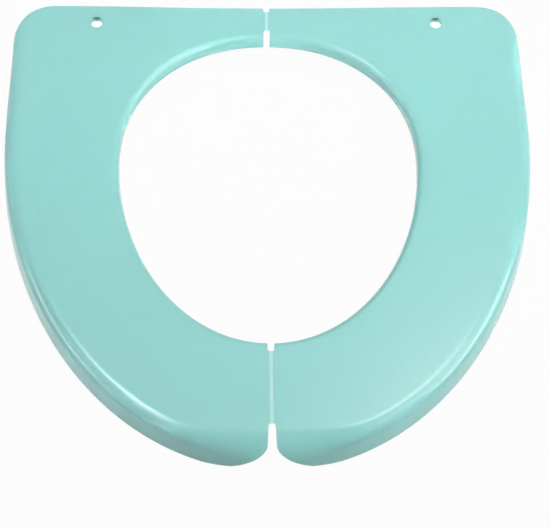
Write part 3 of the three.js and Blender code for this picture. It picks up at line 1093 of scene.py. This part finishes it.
@dataclass
class SeatHalves:
    """The two halves of the shell, each one moulded body with skirt, lip and hang hole.

    Attributes:
        plan: the seat from above.
        finish: the shell's material.
        shift: how far along Y the plan lies from the frame.
        weld_distance: how close points must be to become one.
        sliver_share: the shortest edge that is kept, as a share of the weld distance.
        sharp_angle: what counts as an edge of the gap's cut, to be rounded to cut_radius.
    """

    plan: SeatPlan
    finish: bpy.types.Material
    shift: float
    weld_distance: float = 0.001
    sliver_share: float = 0.1
    sharp_angle: float = math.radians(40)
    cut_radius: float = 0.3
    cut_steps: int = 3

    def build_right(self) -> bpy.types.Mesh:
        """Builds the right half with the shell's node tree and closes the ends of its lip.

        Returns:
            The mesh of the right half, in metres.
        """
        section = self.plan.section
        outer_edge = self.plan.outer_edge()
        hinge_edge = self.plan.hinge_edge(outer_edge[-1 - self.plan.steps.end_face])
        outer = path_guide("outer_edge", outer_edge, section, self.shift)
        hinge = path_guide("hinge_edge", hinge_edge, section, self.shift)
        opening = path_guide("opening_edge", self.plan.opening_edge(), section, self.shift)
        hole = path_guide("hang_hole_edge", self.plan.hang_hole_edge(), section, self.shift)
        skirt = profile_guide("skirt_profile", EdgeProfile(
            section, section.skirt_radius, section.skirt_draft, section.height, arc_steps=13, wall_steps=8))
        lip = profile_guide("lip_profile", EdgeProfile(
            section, section.lip_radius, section.lip_draft, section.lip_depth, arc_steps=10, wall_steps=2))
        tree = shell_tree(edge_strip_tree())
        modifier = outer.modifiers.new("moulded_shell", "NODES")
        modifier.node_group = tree
        sizes = {"Hinge Path": hinge, "Opening Path": opening, "Hang Hole Path": hole,
                 "Skirt Profile": skirt, "Lip Profile": lip,
                 "Plate Height": section.height * METRES, "Wall": section.wall * METRES,
                 "Weld Distance": self.weld_distance * METRES, "Finish": self.finish}
        for item in tree.interface.items_tree:
            if item.in_out == "INPUT" and item.name in sizes:
                modifier[item.identifier] = sizes[item.name]
        outer.update_tag()
        evaluated = outer.evaluated_get(bpy.context.evaluated_depsgraph_get())
        mesh = bpy.data.meshes.new_from_object(evaluated)
        outer.modifiers.clear()
        while mesh.materials[0] is None:  # the strips leave an empty slot before the finish
            mesh.materials.pop(index=0)
        for guide in (outer, hinge, opening, hole, skirt, lip):
            bpy.data.meshes.remove(guide.data)
        self.close_ends(mesh)
        return self.open_gap(mesh)

    def close_ends(self, mesh: bpy.types.Mesh) -> None:
        """Closes the two end faces of the lip and turns all faces outwards."""
        weld = self.weld_distance * METRES

        def close(work: bmesh.types.BMesh) -> None:
            """Welds the seams and fills what is still open."""
            bmesh.ops.remove_doubles(work, verts=work.verts, dist=weld)
            bmesh.ops.dissolve_degenerate(work, edges=work.edges, dist=weld * self.sliver_share)
            bmesh.ops.holes_fill(work, edges=[edge for edge in work.edges if edge.is_boundary], sides=0)
            face_outwards(work)

        open_edges = reshape(mesh, close)
        LOG.info("right half: %d faces, %d open edges", len(mesh.polygons), open_edges)

    def gap_tool(self) -> bpy.types.Mesh:
        """Makes the solid that is cut away for the gap, swept along its slant.

        Returns:
            A closed prism, in metres.
        """
        corners, foot = self.plan.gap_outline()
        slant, overrun = self.plan.gap_slant, self.plan.cut_overrun
        anchor = Vector((0, self.plan.web_span(rear=False)[0] + self.shift, self.plan.section.height))
        down = Vector((0, -math.sin(slant), -math.cos(slant)))
        towards = Vector((0, -math.cos(slant), math.sin(slant)))
        above = ((foot + 2 * overrun) * math.cos(slant) + overrun) / math.sin(slant)
        below = (self.plan.section.height + overrun) / math.sin(slant)
        points = [(anchor + Vector((corner.x, 0, 0)) + down * corner.y + towards * level) * METRES
                  for level in (above, -below) for corner in corners]
        count = len(corners)
        faces = [tuple(range(count)), tuple(range(2 * count - 1, count - 1, -1))]
        faces += [(number, number + count, (number + 1) % count + count, (number + 1) % count)
                  for number in range(count)]
        mesh = bpy.data.meshes.new("gap_tool")
        mesh.from_pydata(points, [], faces)
        reshape(mesh, face_outwards)
        return mesh

    def open_gap(self, mesh: bpy.types.Mesh) -> bpy.types.Mesh:
        """Cuts the gap out of a half and rounds the edges of the cut.

        Args:
            mesh: the whole half, closed.

        Returns:
            The half with its gap.
        """
        whole, tool = link_object("whole_half", mesh), link_object("gap_tool", self.gap_tool())
        modifier = whole.modifiers.new("gap", "BOOLEAN")
        modifier.operation, modifier.solver, modifier.object = "DIFFERENCE", "EXACT", tool
        evaluated = whole.evaluated_get(bpy.context.evaluated_depsgraph_get())
        cut = bpy.data.meshes.new_from_object(evaluated)
        bpy.data.meshes.remove(mesh)
        bpy.data.meshes.remove(tool.data)
        open_edges = reshape(cut, self.round_cut)
        LOG.info("right half with its gap: %d faces, %d open edges", len(cut.polygons), open_edges)
        return cut

    def round_cut(self, work: bmesh.types.BMesh) -> None:
        """Rounds the sharp edges that the gap's cut left."""
        reach = (self.plan.mouth_half + self.plan.cut_overrun) * METRES
        front = (self.plan.web_span(rear=False)[0] + self.shift) * METRES
        sharp = [edge for edge in work.edges
                 if edge.is_manifold and edge.calc_face_angle() > self.sharp_angle
                 and all(vert.co.x < reach and vert.co.y < front for vert in edge.verts)]
        bmesh.ops.bevel(work, geom=sharp, offset=self.cut_radius * METRES, segments=self.cut_steps,
                        profile=0.5, affect="EDGES", clamp_overlap=True)

    def build(self) -> list[bpy.types.Object]:
        """Builds both halves and puts them in place of their CAD nodes.

        Returns:
            The two finished pieces.
        """
        right = self.build_right()
        left = right.copy()
        left.transform(Matrix.Scale(-1, 4, Vector((1, 0, 0))))
        left.flip_normals()
        made = []
        for side, mesh in ((Side.LEFT, left), (Side.RIGHT, right)):
            mesh.name = f"{side.value}_shell"
            piece = link_object(f"{side.value}_shell", mesh)
            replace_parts(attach(piece, side.body), side.node)
            made.append(piece)
        return made


@dataclass
class LivingHinges:
    """The two thin webs that join the halves and bend when the seat folds.

    Attributes:
        plan: the seat from above.
        finish: the webs' material.
        shift: how far along Y the plan lies from the frame.
        tuck: how far each side of a web reaches under the rounded edge of its half.
        ramp_width: how far from the web its upper face rises to the plate.
        thin_inside: how far inside the web's edge its painted glow, the paler colour standing in for light
            shining through, begins to fade.
        thin_outside: how far outside that edge the painted glow ends.
        crease_angle: edges sharper than this stay sharp.
    """

    plan: SeatPlan
    finish: bpy.types.Material
    shift: float
    bend_steps: int = 16
    ramp_steps: int = 7
    length_steps: int = 24
    tuck: float = 0.45
    ramp_width: float = 0.55
    thin_inside: float = 0.2
    thin_outside: float = 0.4
    crease_angle: float = math.radians(50)

    def across(self) -> list[float]:
        """The strip's places across the hinge line, from left to right."""
        half = self.plan.hinge.web_half
        outer = self.plan.hinge.gap_half + self.tuck
        ramp = [lerp(half, outer, step / self.ramp_steps) for step in range(1, self.ramp_steps + 1)]
        bend = [lerp(-half, half, step / self.bend_steps) for step in range(self.bend_steps + 1)]
        return [*(-x for x in reversed(ramp)), *bend, *ramp]

    def heights(self, x: float) -> tuple[float, float]:
        """The strip's upper and under face at a place across the hinge line."""
        hinge, section = self.plan.hinge, self.plan.section
        web_top = hinge.web_top(section.height)
        share = smoothstep(abs(x), hinge.web_half, hinge.web_half + self.ramp_width)
        return lerp(web_top, section.height, share), hinge.underside_at(x, section)

    def thinness(self, x: float) -> float:
        """How much painted glow the strip gets at x, standing in for light through the thin web: fully on
        the web, fading where the wall thickens beside it.
        """
        half = self.plan.hinge.web_half
        return 1 - smoothstep(abs(x), half - self.thin_inside, half + self.thin_outside)

    def flare(self, x: float) -> float:
        """How much further the strip reaches at x, to round the corner with the side of its notch."""
        hinge = self.plan.hinge
        beyond = min(max(0.0, abs(x) - hinge.web_half), hinge.notch_corner)
        return hinge.notch_corner - math.sqrt(hinge.notch_corner ** 2 - beyond ** 2)

    def strip(self, name: str, rear: bool) -> bpy.types.Mesh:
        """Builds one web as a closed thin strip.

        Args:
            name: the mesh's name.
            rear: True for the short web behind the opening.

        Returns:
            The mesh, in metres.
        """
        front_y, back_y = self.plan.web_span(rear)
        places = self.across()
        points: list[Vector] = []
        for upper in (True, False):
            for x in places:
                z = self.heights(x)[0 if upper else 1]
                flare = self.flare(x)
                for step in range(self.length_steps + 1):
                    y = lerp(front_y - flare, back_y + flare, step / self.length_steps)
                    points.append(Vector((x, y + self.shift, z)) * METRES)
        columns, rows = len(places), self.length_steps + 1
        under = columns * rows
        faces = []
        for column in range(columns - 1):
            for row in range(rows - 1):
                a = column * rows + row
                faces.append((a, a + rows, a + rows + 1, a + 1))
                faces.append((under + a, under + a + 1, under + a + rows + 1, under + a + rows))
            for row in (0, rows - 1):
                a = column * rows + row
                faces.append((a, under + a, under + a + rows, a + rows))
        for column in (0, columns - 1):
            for row in range(rows - 1):
                a = column * rows + row
                faces.append((a, a + 1, under + a + 1, under + a))
        mesh = bpy.data.meshes.new(name)
        mesh.from_pydata(points, [], faces)
        # The mask of the painted glow: where the web is thin its colour is painted paler, standing in for
        # light shining through it.
        thin = mesh.attributes.new(THIN_GLOW, "FLOAT", "POINT")
        thin.data.foreach_set("value", [self.thinness(x) for x in places for _ in range(rows)] * 2)
        reshape(mesh, self.crease)
        mesh.materials.append(self.finish)
        return mesh

    def crease(self, work: bmesh.types.BMesh) -> None:
        """Turns a strip's faces outwards and keeps its own edges sharp."""
        face_outwards(work)
        for edge in work.edges:
            if len(edge.link_faces) == 2 and edge.calc_face_angle() > self.crease_angle:
                edge.smooth = False

    def build(self) -> list[bpy.types.Object]:
        """Builds both webs between the halves.

        Returns:
            The two finished pieces.
        """
        made = []
        for name, rear in (("front_web", False), ("rear_web", True)):
            piece = link_object(name, self.strip(name, rear))
            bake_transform(piece)
            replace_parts(piece, name.replace("_web", "_living_hinge"))
            made.append(piece)
        return made


# ---------------------------------------------------------------------------------------------
# Studio
# ---------------------------------------------------------------------------------------------


@dataclass(frozen=True)
class SoftBox:
    """A rectangular lamp that points at the seat.

    Attributes:
        name: the lamp's name.
        azimuth: degrees round the seat from the front, positive to the right.
        elevation: degrees above the floor.
        distance: metres from the seat.
        width: metres.
        height: metres.
        power: watts.
        aim_y: where on the hinge line it points, in metres along Y.
        spread: degrees that its light fans out.
    """

    name: str
    azimuth: float
    elevation: float
    distance: float
    width: float
    height: float
    power: float
    aim_y: float = 0.0
    spread: float = 180.0

    def build(self) -> bpy.types.Object:
        """Makes the lamp and points it at its place on the hinge line."""
        data = bpy.data.lights.new(self.name, "AREA")
        data.shape = "RECTANGLE"
        data.size, data.size_y, data.energy = self.width, self.height, self.power
        data.spread = math.radians(self.spread)
        lamp = link_object(self.name, data)
        azimuth, elevation = math.radians(self.azimuth), math.radians(self.elevation)
        towards = Vector((math.sin(azimuth) * math.cos(elevation), -math.cos(azimuth) * math.cos(elevation),
                          math.sin(elevation)))
        lamp.location = towards * self.distance + Vector((0, self.aim_y, 0))
        lamp.rotation_euler = towards.to_track_quat("Z", "Y").to_euler()
        return lamp


@dataclass
class Studio:
    """The floor, the lamps, the white surroundings and the camera.

    The overhead boxes lay a soft gloss on the plate. The shoulder and side boxes draw the bright streak
    along the skirt's shoulder, and the low ones light its wall. The two narrow beams graze the lip
    behind the opening.

    Attributes:
        camera_place: where the camera stands.
        camera_target: what it looks at.
        camera_upright: how far the direction that is upright in the picture leans up from the floor.
        lens: focal length.
        floor_size: metres.
        floor_white: how much of the floor's colour, as the camera sees it, is plain white.
    """

    camera_place: tuple[float, float, float] = (-27.5, -691.118, 1066.63)
    camera_target: tuple[float, float, float] = (2.9, -33.238, 19.5)
    camera_upright: float = math.radians(33)
    lens: float = 141.9
    floor_size: float = 12.0
    floor_colour: str = "#C4C4C4"
    floor_white: float = 0.96
    lamps: tuple[SoftBox, ...] = (
        SoftBox("right_overhead", 134, 66, 2.0, 0.9, 0.34, 5.6),
        SoftBox("left_overhead", -112, 71, 2.0, 1.05, 0.26, 7.2),
        SoftBox("left_shoulder", -142, 71, 2.0, 0.36, 0.18, 2.6),
        SoftBox("right_shoulder", 148, 71, 2.0, 0.32, 0.18, 1.7),
        SoftBox("right_side", 80, 44, 1.2, 0.85, 0.8, 4.6),
        SoftBox("right_low", 84, 14, 2.0, 1.2, 0.7, 14.0),
        SoftBox("left_low", -84, 12, 2.0, 1.3, 0.7, 8.6),
        SoftBox("left_side", -65, 48, 2.0, 0.8, 0.6, 1.8),
        SoftBox("back", 168, 42, 2.0, 1.6, 0.6, 1.0),
        SoftBox("lip_right", 44, 22, 2.0, 0.4, 0.08, 0.085, aim_y=0.16, spread=8),
        SoftBox("lip_left", -42, 17, 2.0, 0.4, 0.08, 0.07, aim_y=0.16, spread=8),
    )

    def build_camera(self) -> None:
        """Places the camera as the photograph was taken, looking down steeply from the front."""
        data = bpy.data.cameras.new("camera")
        data.lens, data.sensor_width, data.clip_end = self.lens, 36, 100
        camera = link_object("camera", data)
        place = Vector(self.camera_place) * METRES
        ahead = (Vector(self.camera_target) * METRES - place).normalized()
        upright = Vector((0, math.cos(self.camera_upright), math.sin(self.camera_upright)))
        right = ahead.cross(upright).normalized()
        turn = Matrix((right, right.cross(ahead), -ahead)).transposed()
        camera.matrix_world = Matrix.Translation(place) @ turn.to_4x4()
        bpy.context.scene.camera = camera

    def seen_directly(self, tree: bpy.types.NodeTree) -> bpy.types.Node:
        """Adds nodes that give 1 for camera, mirror and glass rays and 0 for the rest."""
        path = add_node(tree, "ShaderNodeLightPath")
        first = add_node(tree, "ShaderNodeMath", {
            0: path.outputs["Is Camera Ray"], 1: path.outputs["Is Glossy Ray"]}, operation="MAXIMUM")
        return add_node(tree, "ShaderNodeMath", {0: first, 1: path.outputs["Is Transmission Ray"]},
                        operation="MAXIMUM")

    def build_world(self) -> None:
        """Gives surroundings that are seen as white and light nothing."""
        world = bpy.data.worlds.new("studio")
        world.use_nodes = True
        tree = world.node_tree
        tree.nodes.clear()
        light = add_node(tree, "ShaderNodeBackground", {
            "Color": (1, 1, 1, 1), "Strength": self.seen_directly(tree)})
        add_node(tree, "ShaderNodeOutputWorld", {"Surface": light})
        bpy.context.scene.world = world

    def floor_material(self) -> bpy.types.Material:
        """Matt pale paper that is seen as nearly white, with a trace of the seat's shadow on it."""
        made = bpy.data.materials.new("backdrop_paper")
        made.use_nodes = True
        tree = made.node_tree
        tree.nodes.clear()
        seen = self.seen_directly(tree)
        paper = add_node(tree, "ShaderNodeBsdfDiffuse", {"Color": linear_colour(self.floor_colour)})
        white = add_node(tree, "ShaderNodeEmission", {"Color": (1, 1, 1, 1), "Strength": 1.0})
        share = add_node(tree, "ShaderNodeMath", {0: seen, 1: self.floor_white}, operation="MULTIPLY")
        both = add_node(tree, "ShaderNodeMixShader", {0: share, 1: paper, 2: white})
        add_node(tree, "ShaderNodeOutputMaterial", {"Surface": both})
        return made

    def build_floor(self) -> None:
        """Lays the floor under the seat."""
        half = self.floor_size / 2
        mesh = bpy.data.meshes.new("floor")
        corners = [(-half, -half, 0), (half, -half, 0), (half, half, 0), (-half, half, 0)]
        mesh.from_pydata(corners, [], [(0, 1, 2, 3)])
        mesh.materials.append(self.floor_material())
        link_object("floor", mesh)

    def build(self) -> None:
        """Builds the whole studio."""
        self.build_camera()
        self.build_world()
        self.build_floor()
        for lamp in self.lamps:
            lamp.build()
        bpy.context.scene.view_settings.view_transform = "Standard"


def main() -> None:
    """Loads the frame, builds each piece in turn and sets up the studio."""
    logging.basicConfig(level=logging.INFO, format="%(name)s: %(message)s")
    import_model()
    plan = SeatPlan(ShellSection(), HingeLine())
    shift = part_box(Side.RIGHT.node)[1].y / METRES - plan.back_reach
    shell_finish = MouldedPolypropylene().material()
    web_finish = MouldedPolypropylene(name="flexing_polypropylene").material()
    pieces = SeatHalves(plan, shell_finish, shift).build()
    pieces += LivingHinges(plan, web_finish, shift).build()
    for piece in pieces:
        LOG.info("%s: %d faces, finish %s", piece.name, len(piece.data.polygons),
                 piece.data.materials[0].name)
    Studio().build()


if __name__ == "__main__":
    main()
